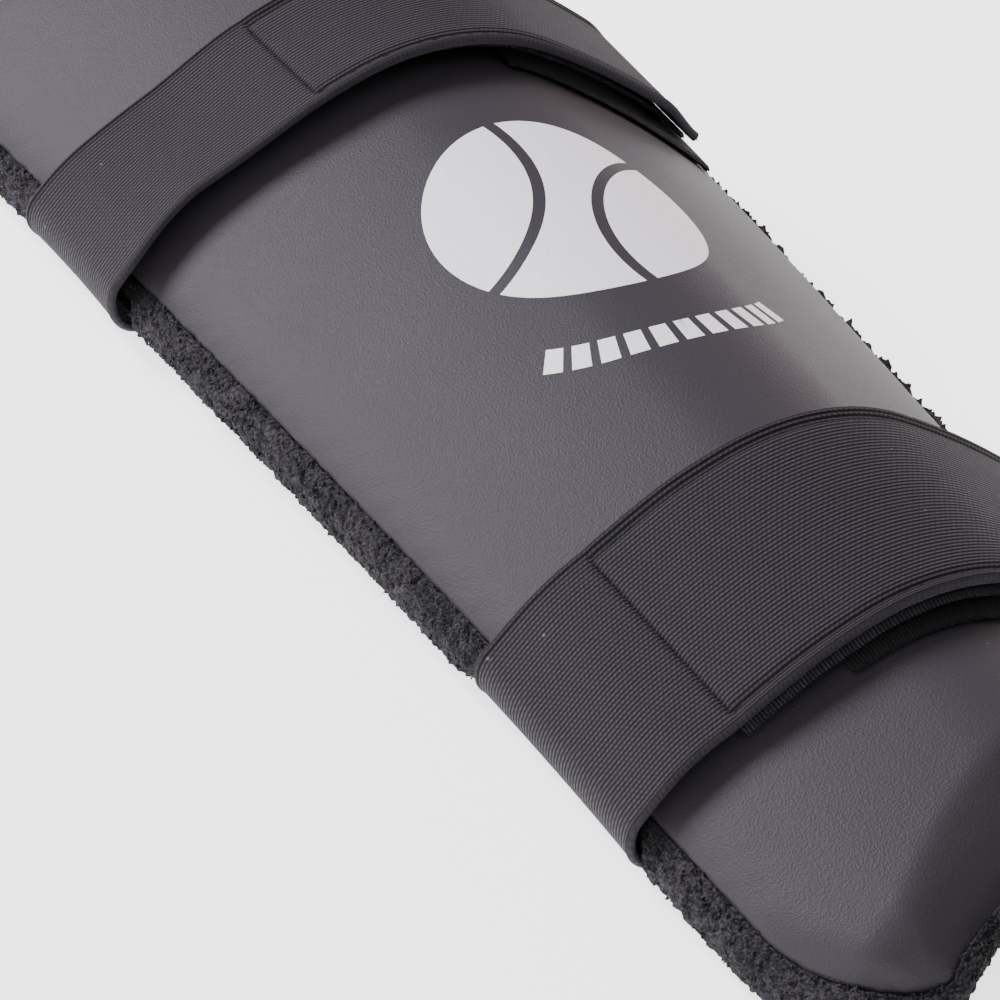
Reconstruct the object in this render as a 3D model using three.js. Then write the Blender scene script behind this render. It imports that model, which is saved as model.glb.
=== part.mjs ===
import * as THREE from 'three';

// Cricket arm guard: a padded half shell for the forearm, crown up, its length along Y.
// The elbow end is at +Y, the wrist end at -Y, and the straps' lower runs lie on z = 0.
// All sizes are in millimetres, angles in radians.

// Leather face
const shellLength = 293;
const elbowFaceWidth = 153;      // over the curve, at the elbow end
const wristFaceWidth = 106;      // over the curve, at the wrist end
const cornerAcross = 17;
const cornerAlong = 22;
const wristScoop = 10;           // how far the wrist end is hollowed at the crown
const wristScoopReach = 56;

// Bend of the section: a tight crown arc with flatter sides
const elbowCrownRadius = 46;
const wristCrownRadius = 31;
const elbowSideRadius = 205;
const wristSideRadius = 165;
const crownHalfAngle = THREE.MathUtils.degToRad(25.5);
const spineRise = 3.2;           // the middle of the spine above its ends

// Padding
const guardThickness = 9.5;
const sideRollDepth = 1.7;
const sideRollWidth = 9.5;
const endRollDepth = 8.6;        // the face slopes down to its seam at both ends
const endRollWidth = 20;         // at the crown line
const cornerRollShare = 0.2;     // how much of the roll is left at the corners
const endRollCurve = 1.3;
const endDip = 5.5;              // how far the lining bends down at both ends
const endDipWidth = 27;

// Towelling lining and its rolled border
const liningThickness = 2.6;
const sideBorder = 6.5;
const endBorder = 3;
const borderFlatShare = 0.46;    // share of the border before its round edge starts

// Elastic straps and their fastening tapes
const elasticThickness = 1.6;
const elbowStrapWidth = 33;
const wristStrapWidth = 45;
const elbowStrapPlace = 75.5;    // along Y, to the middle of the strap
const wristStrapPlace = -78;
const tapeThickness = 1.6;
const hookTapeOverhang = 0.8;    // past the strap's edge, toward the wrist
const loopOverhangLeft = 2.5;
const loopOverhangRight = 5.5;
const tapeRamp = 12;             // length over which the strap climbs onto a tape
const freeEndAngle = THREE.MathUtils.degToRad(118);
const hookEndAngle = THREE.MathUtils.degToRad(104);
const freeEndStandoff = 1;
const floorTurnAngle = THREE.MathUtils.degToRad(152);
const sewnEndReach = 1.07;       // of the floor run's half, to the strap's sewn end

const gap = 0.3;                 // between pieces that touch
const seamGap = 0.6;             // between the leather's edge and the border's inner wall
const floorSlack = 1;            // between a strap's lower run and the border above it

// Places across a strap are shares of its span from the crown line, below 0 to the left.
// A free end at 1 goes on around the right border
const straps = [
  {
    name: 'elbow', place: elbowStrapPlace, width: elbowStrapWidth,
    hookStart: -0.35, loopStart: 0.15, loopEnd: 0.86, freeEnd: 0.82,
  },
  {
    name: 'wrist', place: wristStrapPlace, width: wristStrapWidth,
    hookStart: -0.64, loopStart: -0.33, loopEnd: 0.9, freeEnd: 1,
  },
];

const halfLength = shellLength / 2;
const halfWidths = { elbow: elbowFaceWidth / 2, wrist: wristFaceWidth / 2 };

const clamp = THREE.MathUtils.clamp;
const lerp = THREE.MathUtils.lerp;
const smooth = (x) => THREE.MathUtils.smoothstep(x, 0, 1);

// A size that runs evenly from the wrist end to the elbow end
function along(y, wrist, elbow) {
  return lerp(wrist, elbow, (y + halfLength) / shellLength);
}

function halfWidthAt(y) {
  return along(y, halfWidths.wrist, halfWidths.elbow);
}

// The bend at y: arc length s from the crown gives x, depth below the crown and slope
function bend(s, y) {
  const crownRadius = along(y, wristCrownRadius, elbowCrownRadius);
  const sideRadius = along(y, wristSideRadius, elbowSideRadius);
  const crownArc = crownRadius * crownHalfAngle;
  const arc = Math.abs(s);
  const onCrown = arc <= crownArc;
  const angle = onCrown ? arc / crownRadius : crownHalfAngle + (arc - crownArc) / sideRadius;
  const radius = onCrown ? crownRadius : sideRadius;
  const spare = onCrown ? 0 : crownRadius - sideRadius;
  const x = radius * Math.sin(angle) + spare * Math.sin(crownHalfAngle);
  const depth = crownRadius - radius * Math.cos(angle) - spare * Math.cos(crownHalfAngle);
  return { x: Math.sign(s) * x, depth, angle: Math.sign(s) * angle };
}

// The wrist end's hollow draws the sheet back toward the elbow near the crown
function scooped(s, y) {
  const reach = halfWidths.wrist - cornerAcross;
  const across = Math.max(0, 1 - (s / reach) ** 2);
  const near = clamp((wristScoopReach - halfLength - y) / wristScoopReach, 0, 1);
  return y + wristScoop * across * near ** 1.5;
}

// Half the border's thickness at a side, and its round edge's centre line
const rimHalf = (guardThickness - sideRollDepth) / 2;
const rimCentre = sideBorder * borderFlatShare;
const rimOffset = -sideRollDepth - rimHalf;

// Height of the crown line: the borders' lowest lines clear the straps' lower runs
function rimDrop(y) {
  const { depth, angle } = bend(halfWidthAt(y) + rimCentre, y);
  return depth - rimOffset * Math.cos(angle) + rimHalf;
}
const spineAt = (y) => -spineRise * (y / halfLength) ** 2;
const crownClear = elasticThickness + gap + floorSlack
  - Math.min(...straps.map(({ place }) => spineAt(place)));

function crownHeight(y) {
  return crownClear + spineAt(y) + rimDrop(y);
}

// A point at arc length s, length y and height off above the face's own surface
function onGuard(s, y, off) {
  const { x, depth, angle } = bend(s, y);
  return new THREE.Vector3(
    x + off * Math.sin(angle),
    scooped(s, y),
    crownHeight(y) - depth + off * Math.cos(angle));
}

// Half width of the leather face's outline at y, with its rounded corners
function outlineAt(y) {
  const into = clamp((Math.abs(y) - halfLength + cornerAlong) / cornerAlong, 0, 1);
  return halfWidthAt(clamp(y, -halfLength, halfLength))
    - cornerAcross * (1 - Math.sqrt(1 - into * into));
}

// The end rolls and dips grow smaller from the crown line toward the corners
function endShare(s, y) {
  return lerp(1, cornerRollShare, Math.min(Math.abs(s) / halfWidthAt(y), 1));
}

// Height of the leather's surface, rolling down to its seam at the sides and ends
function faceOffset(s, y) {
  const share = endShare(s, y);
  const fromSide = clamp((outlineAt(y) - Math.abs(s)) / sideRollWidth, 0, 1);
  const fromEnd = clamp((halfLength - Math.abs(y)) / (endRollWidth * share), 0, 1);
  const side = sideRollDepth * (1 - Math.sqrt(1 - (1 - fromSide) ** 2));
  const end = endRollDepth * share * (1 - fromEnd) ** endRollCurve;
  return -side - end;
}

// Height of the lining's lower surface
function innerOffset(s, y) {
  const fromEnd = clamp((halfLength - Math.abs(y)) / endDipWidth, 0, 1);
  return -guardThickness - endDip * endShare(s, y) * (1 - smooth(fromEnd));
}

// A closed solid between two grids of points that share their layout
function slab(countU, countV, upper, lower) {
  const points = [];
  const row = countV + 1;
  const layer = (countU + 1) * row;
  for (const surface of [upper, lower]) {
    for (let i = 0; i <= countU; i++) {
      for (let j = 0; j <= countV; j++) points.push(...surface(i, j).toArray());
    }
  }
  const faces = [];
  const quad = (a, b, c, d) => faces.push(a, b, c, a, c, d);
  for (let i = 0; i < countU; i++) {
    for (let j = 0; j < countV; j++) {
      const at = i * row + j;
      quad(at, at + row, at + row + 1, at + 1);
      quad(layer + at, layer + at + 1, layer + at + row + 1, layer + at + row);
    }
  }
  const rim = [];
  for (let i = 0; i < countU; i++) rim.push(i * row);
  for (let j = 0; j < countV; j++) rim.push(countU * row + j);
  for (let i = countU; i > 0; i--) rim.push(i * row + countV);
  for (let j = countV; j > 0; j--) rim.push(j);
  rim.forEach((at, k) => {
    const next = rim[(k + 1) % rim.length];
    quad(at, layer + at, layer + next, next);
  });
  const geometry = new THREE.BufferGeometry();
  geometry.setAttribute('position', new THREE.Float32BufferAttribute(points, 3));
  geometry.setIndex(faces);
  geometry.computeVertexNormals();
  return geometry;
}

// Place of a grid point when each ring of the grid follows the outline at its own inset.
// An inset below 0 lies outside the leather; ends may have an inset of their own.
function ringPlace(i, j, across, lengthwise, rings) {
  const ring = Math.min(i, across - i, j, lengthwise - j, rings.length - 1);
  const { side, end } = rings[ring];
  const cornerA = Math.max(cornerAcross - side, 0);
  const cornerL = Math.max(cornerAlong - end, 0);
  const corner = 1 - Math.SQRT1_2;
  const endY = halfLength - end;
  const spread = (u) => 0.45 * u + 0.55 * Math.sin(u * Math.PI / 2);
  const u = spread(2 * (i - ring) / (across - 2 * ring) - 1);
  const v = spread(2 * (j - ring) / (lengthwise - 2 * ring) - 1);
  const cornerY = endY - cornerL * corner;
  const widthAt = (y) => halfWidthAt(y) - side;
  const onSide = i === ring || i === across - ring;
  if (onSide) {
    const y = v * cornerY;
    const into = cornerL > 0 ? clamp((Math.abs(y) - endY + cornerL) / cornerL, 0, 1) : 0;
    return { s: Math.sign(u) * (widthAt(y) - cornerA * (1 - Math.sqrt(1 - into * into))), y, ring };
  }
  if (j === ring || j === lengthwise - ring) {
    const width = widthAt(Math.sign(v) * cornerY);
    const s = u * (width - cornerA * corner);
    const into = cornerA > 0 ? clamp((Math.abs(s) - width + cornerA) / cornerA, 0, 1) : 0;
    return { s, y: Math.sign(v) * (endY - cornerL * (1 - Math.sqrt(1 - into * into))), ring };
  }
  const y = v * cornerY;
  return { s: u * widthAt(y), y, ring };
}

const gridAcross = 20;
const gridLengthwise = 32;
const faceInsets = [1, 3, 6, 10, 15, 21, 28];

// Leather-covered padded shell
function outerShell() {
  const rings = [0, ...faceInsets].map((inset) => ({ side: inset, end: inset }));
  const place = (i, j) => ringPlace(i, j, gridAcross, gridLengthwise, rings);
  const upper = (i, j) => {
    const { s, y } = place(i, j);
    return onGuard(s, y, faceOffset(s, y));
  };
  const lower = (i, j) => {
    const { s, y } = place(i, j);
    return onGuard(s, y, innerOffset(s, y) + liningThickness + gap);
  };
  return slab(gridAcross, gridLengthwise, upper, lower);
}

// Towelling lining: a thin layer under the shell with a border rolled up around its edge
function towelLining() {
  const roundAngles = [8, 40, 68, 90];
  const rings = roundAngles.map((degrees) => {
    const angle = THREE.MathUtils.degToRad(degrees);
    const reach = borderFlatShare + (1 - borderFlatShare) * Math.cos(angle);
    return { side: -sideBorder * reach, end: -endBorder * reach, round: Math.sin(angle) };
  });
  rings.push({ side: -seamGap - gap, end: -seamGap - gap, round: 1 });
  rings.push({ side: -seamGap, end: -seamGap, round: null });
  const borderRings = rings.length - 1;
  for (const inset of faceInsets) rings.push({ side: inset, end: inset, round: null });
  const across = gridAcross + 2 * borderRings;
  const lengthwise = gridLengthwise + 2 * borderRings;
  const place = (i, j) => ringPlace(i, j, across, lengthwise, rings);
  const upper = (i, j) => {
    const { s, y, ring } = place(i, j);
    const bottom = innerOffset(s, y);
    const { round } = rings[ring];
    if (round === null) return onGuard(s, y, bottom + liningThickness);
    const middle = (faceOffset(s, y) + bottom) / 2;
    return onGuard(s, y, lerp(middle, faceOffset(s, y), round));
  };
  const lower = (i, j) => {
    const { s, y, ring } = place(i, j);
    const bottom = innerOffset(s, y);
    const { round } = rings[ring];
    if (round === null) return onGuard(s, y, bottom);
    const middle = (faceOffset(s, y) + bottom) / 2;
    return onGuard(s, y, lerp(middle, bottom, round));
  };
  return slab(across, lengthwise, upper, lower);
}

// A strap spans the face and both side seams, to here on either side
const spanAt = (y) => halfWidthAt(y) + rimCentre;

// Height of a strap's lower side above the leather
function strapBed(s, y) {
  const fromEdge = clamp((spanAt(y) - Math.abs(s)) / (sideRollWidth + rimCentre), 0, 1);
  return gap - sideRollDepth * (1 - Math.sqrt(1 - (1 - fromEdge) ** 2));
}

// Places across a strap between two shares; a strap and its tapes take them from one
// table, so that their layers keep one distance
function shareTable({ hookStart, loopStart, loopEnd, freeEnd }, from, to) {
  const ends = [hookStart, loopStart, loopEnd, freeEnd];
  const steps = 24;
  const even = Array.from({ length: steps }, (_, k) => 2 * k / steps - 1);
  const apart = even.filter((share) => ends.every((end) => Math.abs(share - end) > 0.5 / steps));
  return [...apart, ...ends].filter((share) => share >= from && share <= to).sort((a, b) => a - b);
}

// How far the loop tape, then the hook tape, lift what lies over them
function loopLift({ loopStart, loopEnd }, share, y) {
  const rise = smooth((share - loopStart) * spanAt(y) / tapeRamp + 1);
  const fall = smooth((share - loopEnd) / (1 - loopEnd));
  return rise * lerp(tapeThickness + gap, freeEndStandoff, fall);
}

function hookLift({ hookStart }, share, y) {
  return (tapeThickness + gap) * smooth((share - hookStart) * spanAt(y) / tapeRamp + 1);
}

// A point of a strap's or tape's route at y. Stations lie on the face (share of the
// span), around a side border (angle from straight up) or on the floor run (x as a
// share of its half)
function routePoint(station, y, lift) {
  const span = spanAt(y);
  if (station.face !== undefined) {
    const s = station.face * span;
    return onGuard(s, y, strapBed(s, y) + lift(station.face));
  }
  const side = station.side ?? 1;
  const { angle: slope } = bend(span, y);
  const centre = onGuard(side * span, y, rimOffset);
  if (station.turn !== undefined) {
    const angle = lerp(slope, station.to, station.turn);
    const radius = rimHalf + gap + lift(side);
    centre.x += side * radius * Math.sin(angle);
    centre.z += radius * Math.cos(angle);
    return centre;
  }
  return new THREE.Vector3(station.floor * (centre.x - rimHalf / 2), y, lift(null));
}

// Even stations from one end of a stretch to the other
function stations(count, make, skipFirst = false) {
  const first = skipFirst ? 1 : 0;
  return Array.from({ length: count + 1 - first }, (_, k) => make((k + first) / count));
}

// Elastic strap: from its free end on the right, over the face, around the left border
// and along the floor to its sewn end under the right border
function elasticStrap(strap) {
  const { place, width, freeEnd } = strap;
  const aroundRight = stations(5, (k) => ({ turn: 1 - k, to: freeEndAngle, side: 1 }));
  const route = [
    ...(freeEnd === 1 ? aroundRight.slice(0, -1) : []),
    ...shareTable(strap, -1, freeEnd).reverse().map((share) => ({ face: share })),
    ...stations(6, (k) => ({ turn: k, to: floorTurnAngle, side: -1 }), true),
    ...stations(6, (k) => ({ floor: 2 * k - 1 })),
    { floor: sewnEndReach },
  ];
  const columns = 3;
  const yAt = (j) => place + width * (0.5 - j / columns);
  const lift = (thickness, y) => (share) => (share === null
    ? elasticThickness - thickness
    : thickness + loopLift(strap, share, y) + hookLift(strap, share, y));
  const surface = (thickness) => (i, j) => routePoint(route[i], yAt(j), lift(thickness, yAt(j)));
  return slab(route.length - 1, columns, surface(elasticThickness), surface(0));
}

// Hook tape under the strap, and the loop tape on the leather that it grips
function hookTape(strap) {
  const { place, width, hookStart, freeEnd } = strap;
  const columns = 3;
  const aroundRight = stations(4, (k) => ({ turn: k, to: hookEndAngle, side: 1 }), true);
  const route = [
    ...shareTable(strap, hookStart, freeEnd).map((share) => ({ face: share })),
    ...(freeEnd === 1 ? aroundRight : []),
  ];
  const yAt = (j) => place - hookTapeOverhang + width * (j / columns - 0.5);
  const surface = (thickness) => (i, j) => {
    const y = yAt(j);
    return routePoint(route[i], y, (share) => thickness + loopLift(strap, share, y));
  };
  return slab(route.length - 1, columns, surface(tapeThickness), surface(0));
}

function loopTape(strap) {
  const { place, width, loopStart, loopEnd } = strap;
  const columns = 3;
  const shares = shareTable(strap, loopStart, loopEnd);
  const surface = (thickness) => (i, j) => {
    const overhang = lerp(loopOverhangLeft, loopOverhangRight, i / (shares.length - 1));
    const y = lerp(place - width / 2 - overhang, place + width / 2, j / columns);
    return routePoint({ face: shares[i] }, y, () => thickness);
  };
  return slab(shares.length - 1, columns, surface(tapeThickness), surface(0));
}

const leather = new THREE.MeshStandardMaterial({ color: 0x3b393e, roughness: 0.5, metalness: 0 });
const towelling = new THREE.MeshStandardMaterial({ color: 0x161518, roughness: 1, metalness: 0 });
const elastic = new THREE.MeshStandardMaterial({ color: 0x1f1d20, roughness: 0.85, metalness: 0 });
const hookFabric = new THREE.MeshStandardMaterial({ color: 0x262528, roughness: 0.7, metalness: 0 });
const loopFabric = new THREE.MeshStandardMaterial({ color: 0x121114, roughness: 0.95, metalness: 0 });

const guard = new THREE.Group();

function add(name, geometry, material) {
  const mesh = new THREE.Mesh(geometry, material);
  mesh.name = name;
  guard.add(mesh);
}

add('outer_shell', outerShell(), leather);
add('towel_lining', towelLining(), towelling);
for (const strap of straps) {
  add(`${strap.name}_strap`, elasticStrap(strap), elastic);
  add(`${strap.name}_hook_tape`, hookTape(strap), hookFabric);
  add(`${strap.name}_loop_tape`, loopTape(strap), loopFabric);
}

// The origin is the middle of the guard's footprint, on the surface that it rests on
const box = new THREE.Box3().setFromObject(guard);
const centre = box.getCenter(new THREE.Vector3());
guard.position.set(-centre.x, -centre.y, -box.min.z);

export default guard;
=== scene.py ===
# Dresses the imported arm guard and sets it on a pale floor.
# Sizes are in metres and angles in radians. X runs across the guard, Y from its wrist
# end to its elbow end and Z up through the crown; s is the arc length from the crown.
import math
import random

import bmesh
import bpy
from mathutils import Matrix, Vector, noise


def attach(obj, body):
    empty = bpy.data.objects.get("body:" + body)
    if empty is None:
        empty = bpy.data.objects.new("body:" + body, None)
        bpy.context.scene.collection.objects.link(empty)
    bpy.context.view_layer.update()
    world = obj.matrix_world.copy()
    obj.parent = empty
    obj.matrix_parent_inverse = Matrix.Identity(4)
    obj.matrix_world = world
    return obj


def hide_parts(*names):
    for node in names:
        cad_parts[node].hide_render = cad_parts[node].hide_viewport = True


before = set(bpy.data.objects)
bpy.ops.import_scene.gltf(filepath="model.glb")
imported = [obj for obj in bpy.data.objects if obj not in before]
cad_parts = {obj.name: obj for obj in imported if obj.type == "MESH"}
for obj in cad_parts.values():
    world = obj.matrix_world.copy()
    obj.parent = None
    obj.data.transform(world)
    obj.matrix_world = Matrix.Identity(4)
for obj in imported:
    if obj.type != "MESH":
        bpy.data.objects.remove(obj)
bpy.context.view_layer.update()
random.seed(11)

shell = {
    "length": 0.293,
    "elbowWidth": 0.153,         # over the curve
    "wristWidth": 0.106,
    "cornerAcross": 0.017,
    "cornerAlong": 0.022,
    "wristScoop": 0.010,         # how far the wrist end is hollowed at the crown
    "wristScoopReach": 0.056,
    "elbowCrownRadius": 0.046,
    "wristCrownRadius": 0.031,
    "elbowSideRadius": 0.205,
    "wristSideRadius": 0.165,
    "crownHalfAngle": math.radians(25.5),
    "spineRise": 0.0032,         # of the crown line's middle over its ends
    "thickness": 0.0095,
    "sideRollDepth": 0.0017,
    "sideRollWidth": 0.0095,
    "endRollDepth": 0.0086,
    "endRollWidth": 0.020,       # at the crown
    "cornerRollShare": 0.2,      # how much of the roll is left at the corners
    "endRollCurve": 1.06,
    "endDip": 0.0055,            # how far the inside turns down at the ends
    "endDipWidth": 0.027,
    "lining": 0.0026,
    "sideBorder": 0.0065,
    "endBorder": 0.0022,
    "borderFlat": 0.46,          # share of the border before its round edge
}
strapBuild = {
    "elastic": 0.0016,
    "tape": 0.0016,
    "gap": 0.0003,
    "floorSlack": 0.001,
    "floorReach": 1.07,          # share of the lower half run where the sewn end stops
    "ramp": 0.022,               # length over which a strap climbs onto a tape
    "freeEndStandoff": 0.001,
    "freeEndAngle": math.radians(118),
    "hookEndAngle": math.radians(104),
    "floorTurn": math.radians(152),
    "tapeBody": 0.62,            # how much of its space a tape fills
    "droop": (0.0009, 0.0019),   # how far the hook tape and the elastic bend down at a cut end
    "droopReach": 0.16,          # share of the span over which they do
    "rollDrop": 0.0015,          # how far a strap sinks before it turns round the border
    "drawStart": 0.7,            # share of the left span where it draws in and spreads
    "liftCurve": 1.7,            # how late across the strap the edge lift comes
    "liftFade": 0.35,            # shares of the span over which it grows and is held down
    "heldFade": 0.3,
    "heldLift": 0.06,            # share of it that is left over the tapes
    "faceSteps": 60,             # stations on half the span, round each turn and below
    "freeTurnSteps": 10,
    "turnSteps": 14,
    "seamStep": 0.006,           # closer stations where the hook tape starts
}
# Starts and ends are shares of the half span, from the left border at -1 to the right one
# at 1. An overhang is how far a tape shows beyond the strap. tuck: how far the left turn
# presses the border in; flare: how far the strap spreads there; edgeLift: how far the
# wrist-side edge stands off as the guard narrows, from leastLift of it up to liftStart.
straps = [
    {"name": "elbow", "place": 0.0755, "width": 0.033, "hookStart": -0.35, "loopStart": 0.15,
     "loopEnd": 0.86, "freeEnd": 0.82, "hookOverhang": -0.003, "loopOverhang": (0.0, 0.0055),
     "tuck": 0.0010, "flare": 0.0035, "edgeLift": 0.0040,
     "liftStart": -0.4, "leastLift": 0.6},
    {"name": "wrist", "place": -0.078, "width": 0.045, "hookStart": -0.64, "loopStart": -0.33,
     "loopEnd": 0.9, "freeEnd": 1, "hookOverhang": 0.0003, "loopOverhang": (0.0025, 0.0055),
     "tuck": 0.0019, "flare": 0.001, "edgeLift": 0.0030,
     "liftStart": -0.62, "leastLift": 0.3},
]

halfLength = shell["length"] / 2
rimHalf = (shell["thickness"] - shell["sideRollDepth"]) / 2
rimCentre = shell["sideBorder"] * shell["borderFlat"]
rimOffset = -shell["sideRollDepth"] - rimHalf


def clamp(x, low=0.0, high=1.0):
    return max(low, min(high, x))


def mix(a, b, share):
    return a + (b - a) * share


def smooth(x):
    x = clamp(x)
    return x * x * (3 - 2 * x)


def eased(u, amount):            # from 0 to 1, closer near both
    q = 2 * u - 1
    return 0.5 + 0.5 * mix(q, math.sin(q * math.pi / 2), amount)


# The guard's form

def along(y, wrist, elbow):
    return mix(wrist, elbow, (y + halfLength) / shell["length"])


def halfWidthAt(y):
    return along(y, shell["wristWidth"], shell["elbowWidth"]) / 2


def bend(s, y):                  # a tight crown arc with flatter sides
    crownRadius = along(y, shell["wristCrownRadius"], shell["elbowCrownRadius"])
    sideRadius = along(y, shell["wristSideRadius"], shell["elbowSideRadius"])
    turn = shell["crownHalfAngle"]
    crownArc = crownRadius * turn
    arc = abs(s)
    if arc <= crownArc:
        angle, radius, spare = arc / crownRadius, crownRadius, 0
    else:
        angle = turn + (arc - crownArc) / sideRadius
        radius, spare = sideRadius, crownRadius - sideRadius
    side = math.copysign(1, s)
    x = side * (radius * math.sin(angle) + spare * math.sin(turn))
    depth = crownRadius - radius * math.cos(angle) - spare * math.cos(turn)
    return x, depth, side * angle


def scooped(s, y):               # the wrist end is hollowed at the crown
    across = max(0, 1 - (s / (shell["wristWidth"] / 2 - shell["cornerAcross"])) ** 2)
    reach = shell["wristScoopReach"]
    near = clamp((reach - halfLength - y) / reach)
    return y + shell["wristScoop"] * across * near ** 1.5


def spineAt(y):
    return -shell["spineRise"] * (y / halfLength) ** 2


crownClear = (strapBuild["elastic"] + strapBuild["gap"] + strapBuild["floorSlack"]
              - min(spineAt(strap["place"]) for strap in straps))


def crownHeight(y):              # the borders' lowest lines clear the straps' lower runs
    _, depth, angle = bend(halfWidthAt(y) + rimCentre, y)
    return crownClear + spineAt(y) + depth - rimOffset * math.cos(angle) + rimHalf


def onGuard(s, y, off):
    x, depth, angle = bend(s, y)
    height = crownHeight(y) - depth + off * math.cos(angle)
    return Vector((x + off * math.sin(angle), scooped(s, y), height))


def endTurn(y):                  # 0 along the sides, growing round the corners to 1 at the ends
    return clamp((abs(y) - halfLength + shell["cornerAlong"]) / shell["cornerAlong"])


def outlineAt(y):
    bow = 1 - math.sqrt(1 - endTurn(y) * endTurn(y))
    return halfWidthAt(clamp(y, -halfLength, halfLength)) - shell["cornerAcross"] * bow


def endShare(s, y):              # the end rolls grow smaller toward the corners
    return mix(1, shell["cornerRollShare"], min(abs(s) / halfWidthAt(y), 1))


def faceOffset(s, y):            # the face rolls down to its seam at the sides and ends
    share = endShare(s, y)
    fromSide = clamp((outlineAt(y) - abs(s)) / shell["sideRollWidth"])
    fromEnd = clamp((halfLength - abs(y)) / (shell["endRollWidth"] * share))
    side = shell["sideRollDepth"] * (1 - math.sqrt(1 - (1 - fromSide) ** 2))
    return -side - shell["endRollDepth"] * share * (1 - fromEnd) ** shell["endRollCurve"]


def innerOffset(s, y):
    fromEnd = clamp((halfLength - abs(y)) / shell["endDipWidth"])
    return -shell["thickness"] - shell["endDip"] * endShare(s, y) * (1 - smooth(fromEnd))


# How materials are written

class Wire:                      # a socket; an expression on it adds Math nodes
    def __init__(self, finish, socket):
        self.finish, self.socket = finish, socket

    def math(self, operation, *others):
        values = dict(enumerate((self, *others)))
        return self.finish.add("ShaderNodeMath", {"operation": operation}, values)

    def __add__(self, other):
        return self.math("ADD", other)

    def __sub__(self, other):
        return self.math("SUBTRACT", other)

    def __mul__(self, other):
        return self.math("MULTIPLY", other)

    def wave(self):              # a sine from 0 to 1
        return self.math("SINE") * 0.5 + 0.5


class Finish:                    # one material
    def __init__(self, name):
        self.material = bpy.data.materials.new(name)
        self.material.use_nodes = True
        self.tree = self.material.node_tree
        self.tree.nodes.clear()
        self.place = self.add("ShaderNodeTexCoord", output=3)

    def add(self, kind, settings=None, sockets=None, output=0):
        node = self.tree.nodes.new(kind)
        for key, value in (settings or {}).items():
            if key == "stops":
                ramp = node.color_ramp
                while len(ramp.elements) < len(value):
                    ramp.elements.new(1)
                for element, (position, level) in zip(ramp.elements, value):
                    element.position, element.color = position, (level, level, level, 1)
            else:
                setattr(node, key, value)
        for key, value in (sockets or {}).items():
            if isinstance(value, Wire):
                self.tree.links.new(value.socket, node.inputs[key])
            else:
                node.inputs[key].default_value = value
        return Wire(self, node.outputs[output]) if node.outputs else None

    def cloud(self, scale, detail, roughness=0.5):
        return self.add("ShaderNodeTexNoise", None, {
            "Vector": self.place, "Scale": scale, "Detail": detail, "Roughness": roughness})

    def cells(self, scale):
        return self.add("ShaderNodeTexVoronoi", None, {"Vector": self.place, "Scale": scale})

    def flatPlace(self, name):   # the two coordinates of a UV map
        pair = self.add("ShaderNodeSeparateXYZ", None, {
            0: self.add("ShaderNodeUVMap", {"uv_map": name})})
        return pair, Wire(self, pair.socket.node.outputs[1])

    def blend(self, share, a, b):    # a colour between two
        return self.add("ShaderNodeMix", {"data_type": "RGBA"}, {0: share, 6: a, 7: b}, 2)

    def surface(self, sockets, height=None, depth=0.0):
        if height is not None:
            sockets["Normal"] = self.add("ShaderNodeBump", None, {
                "Height": height, "Distance": depth, "Strength": 1.0})
        shader = self.add("ShaderNodeBsdfPrincipled", None, sockets)
        self.add("ShaderNodeOutputMaterial", None, {"Surface": shader})
        return self.material


def grey(level, tint=(1.04, 0.91, 1.13)):
    return (level * tint[0], level * tint[1], level * tint[2], 1)


# How meshes are made

def meshOf(bm, name):
    mesh = bpy.data.meshes.new(name)
    bm.to_mesh(mesh)
    bm.free()
    return mesh


def newObject(name, bm):
    made = bpy.data.objects.new(name, meshOf(bm, name))
    bpy.context.scene.collection.objects.link(made)
    return made


def finishPiece(bm, name, material, slot, node=None, sharp=50):
    limit = math.radians(sharp)
    for edge in bm.edges:
        edge.smooth = edge.calc_face_angle(0) < limit
    for face in bm.faces:
        face.smooth = True
    piece = newObject(name, bm)
    piece.data.materials.append(material)
    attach(piece, "root")
    if node:
        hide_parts(node)
    return piece


def addCopy(bm, shape, matrix):
    copy = shape.copy()
    copy.transform(matrix)
    bm.from_mesh(copy)
    bpy.data.meshes.remove(copy)


def anyWay():
    return Vector((random.uniform(-1, 1) for _ in range(3)))


# A grid whose shares (u, v) from 0 to 1 go through one function for each side
def slab(countU, countV, upper, lower, flat):
    bm = bmesh.new()
    bmesh.ops.create_grid(bm, x_segments=countU, y_segments=countV, size=0.5)
    share = bm.verts.layers.float_vector.new("share")
    for vert in bm.verts:
        vert[share] = (vert.co.x + 0.5, vert.co.y + 0.5, 0)
    under = bmesh.ops.extrude_face_region(bm, geom=bm.faces[:], use_keep_orig=True)["geom"]
    under = {item for item in under if isinstance(item, bmesh.types.BMVert)}
    uv = bm.loops.layers.uv.new("flat")
    for vert in bm.verts:
        u, v, _ = vert[share]
        vert.co = (lower if vert in under else upper)(u, v)
    for face in bm.faces:
        for loop in face.loops:
            u, v, _ = loop.vert[share]
            loop[uv].uv = flat(u, v)
    bmesh.ops.recalc_face_normals(bm, faces=bm.faces)
    return bm


def sameShares(u, v):
    return u, v


# Leather face

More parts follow.
